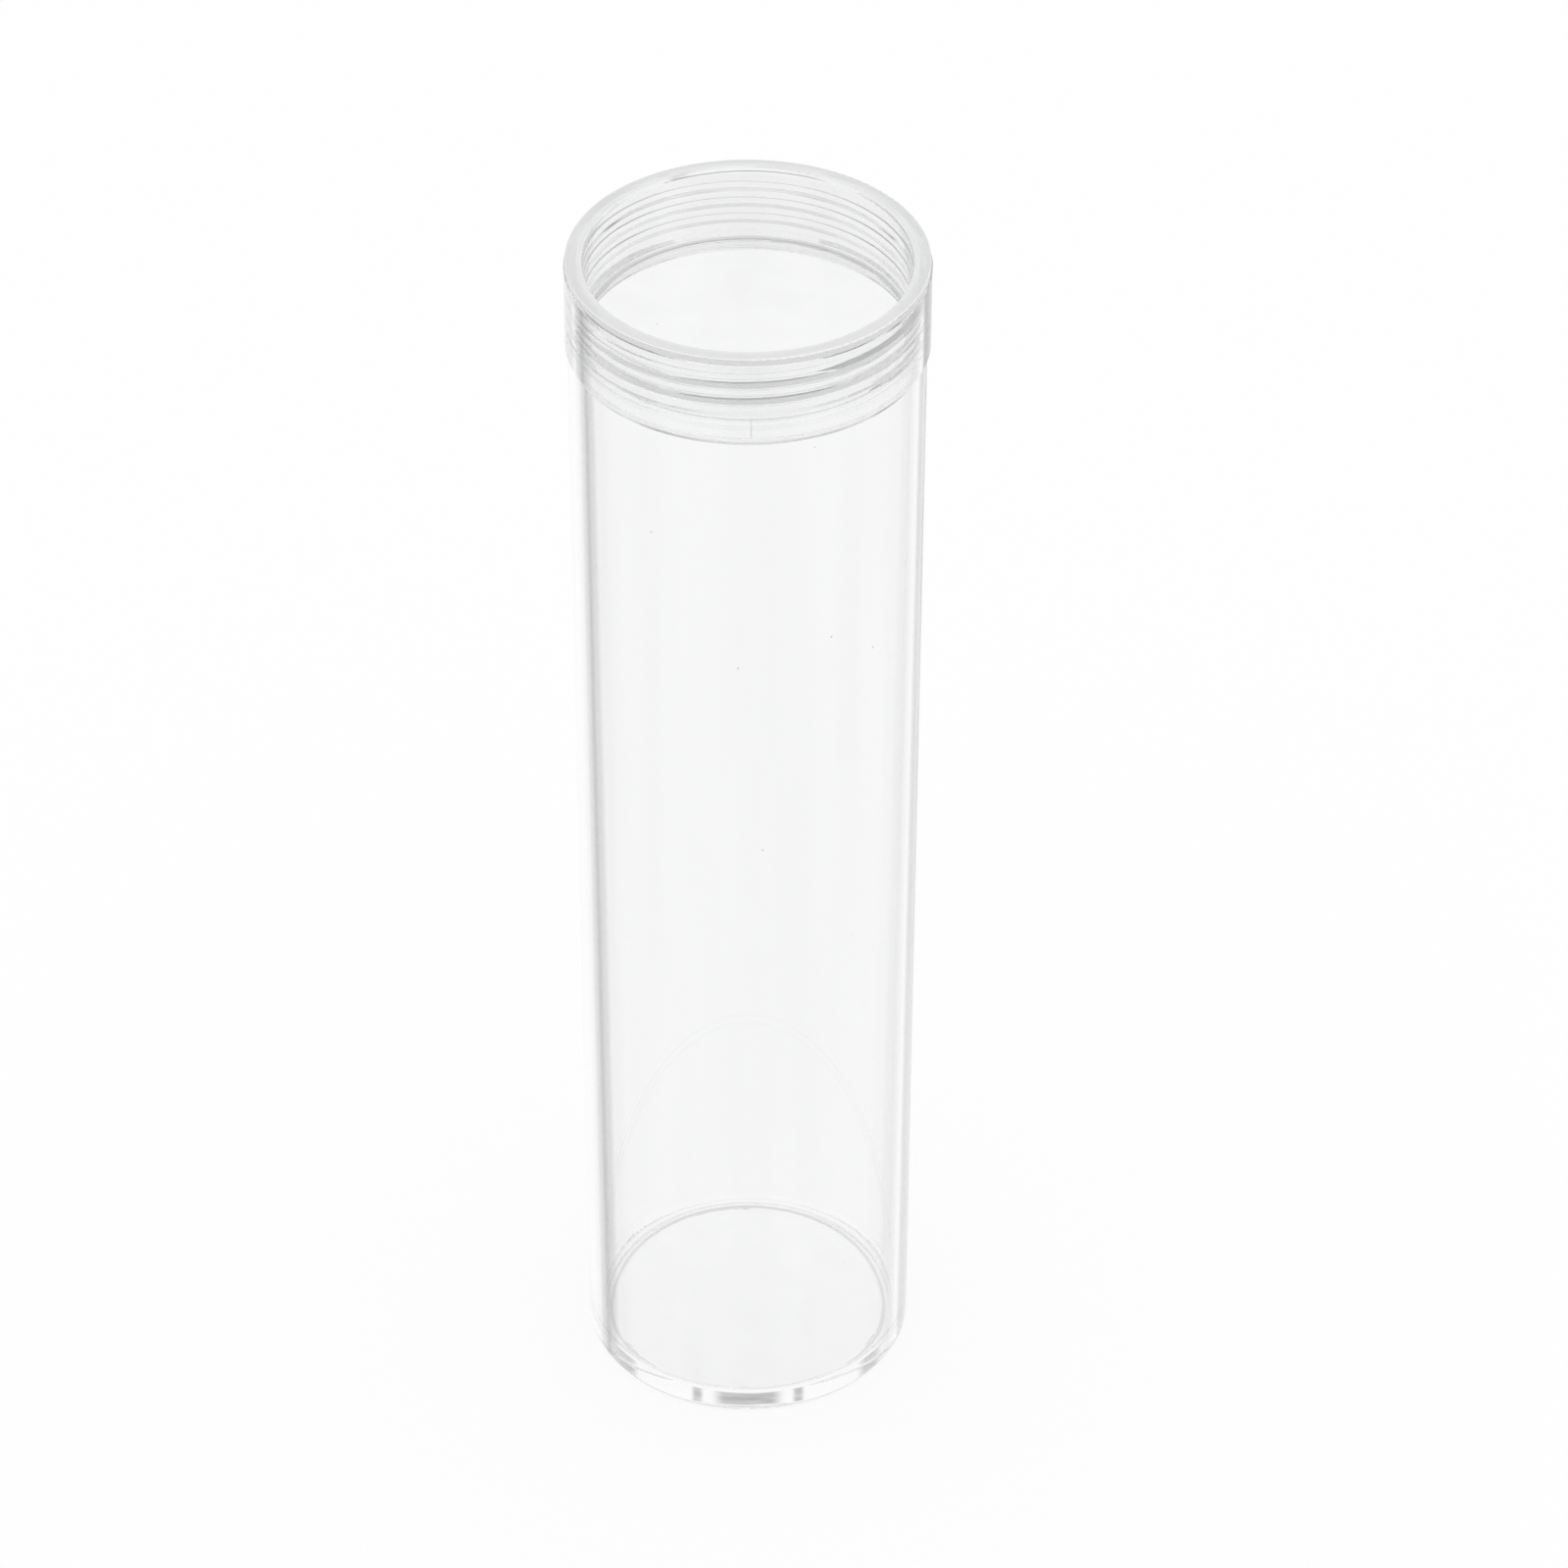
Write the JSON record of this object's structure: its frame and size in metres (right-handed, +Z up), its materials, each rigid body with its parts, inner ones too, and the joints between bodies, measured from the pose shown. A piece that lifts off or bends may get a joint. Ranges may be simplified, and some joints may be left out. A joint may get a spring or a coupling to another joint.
{
  "type": "coin tube",
  "caption": "Clear, slightly tapered round tube for a stack of coins, with a threaded collar at its mouth and a screw-in cap that has a deep open recess.",
  "frame": {"origin": "centre of the base, on the surface that the tube stands on", "axes": "+Z up along the tube's axis; the thread's lower end lies 52 degrees from +X towards -Y"},
  "size_m": [0.029, 0.029, 0.11],
  "materials": {
    "clear_plastic": "clear, polished",
    "milky_plastic": "clear with a faint milky cast, smooth"
  },
  "bodies": {
    "tube": {"tube": "clear_plastic"},
    "cap_carrier": {"cap_floor": "clear_plastic"},
    "cap": {"cap_ring": "milky_plastic"}
  },
  "joints": [
    {"name": "cap_rise", "type": "slide", "parent": "tube", "child": "cap_carrier", "axis": [0, 0, 1], "range_m": [0, 0.0075]},
    {"name": "cap_turn", "type": "hinge", "parent": "cap_carrier", "child": "cap", "pos_m": [0, 0, 0.106], "axis": [0, 0, 1], "range_deg": [0, 1800]}
  ],
  "couplings": [
    {"joint": "cap_turn", "follows": "cap_rise", "rad_per_m": 4188.8}
  ]
}
